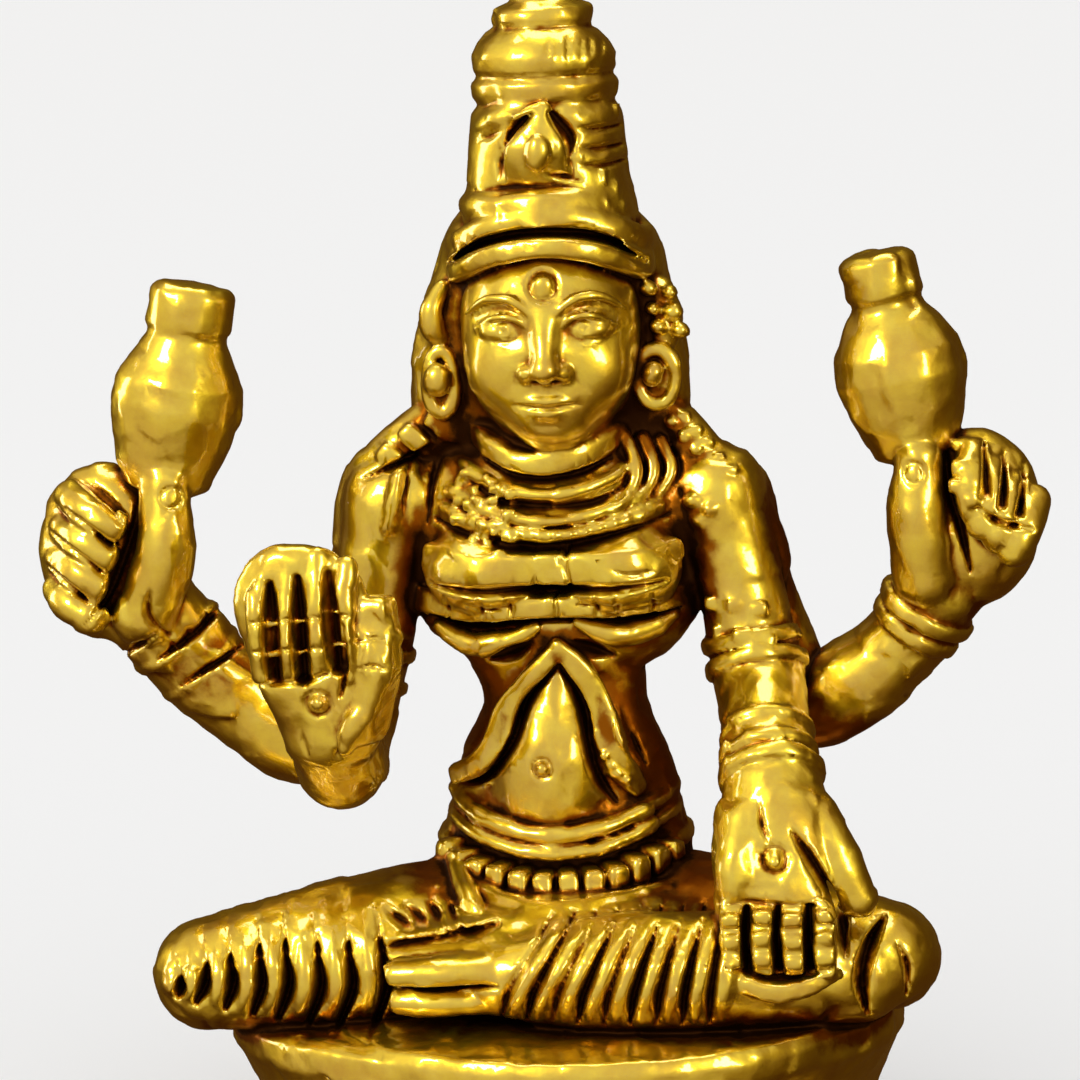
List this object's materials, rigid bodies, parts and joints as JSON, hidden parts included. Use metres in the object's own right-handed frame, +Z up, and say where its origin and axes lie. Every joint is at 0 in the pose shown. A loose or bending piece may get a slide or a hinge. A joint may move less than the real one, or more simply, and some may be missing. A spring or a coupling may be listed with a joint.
{
  "type": "seated lakshmi figurine",
  "caption": "Small cast brass figurine of a crowned many-armed goddess seated cross-legged on an oval plinth, for a shelf or home shrine.",
  "frame": {"origin": "centre of the seating pose on the plinth's flat underside", "axes": "+Z up through the crown, the face looks along -Y, +X is the viewer's right"},
  "size_m": [0.0704, 0.0359, 0.084],
  "materials": {
    "brass": "cast and polished yellow brass, dark tarnish left in the engraved lines and hollows"
  },
  "bodies": {
    "root": {"seated_goddess": "brass"}
  },
  "joints": []
}
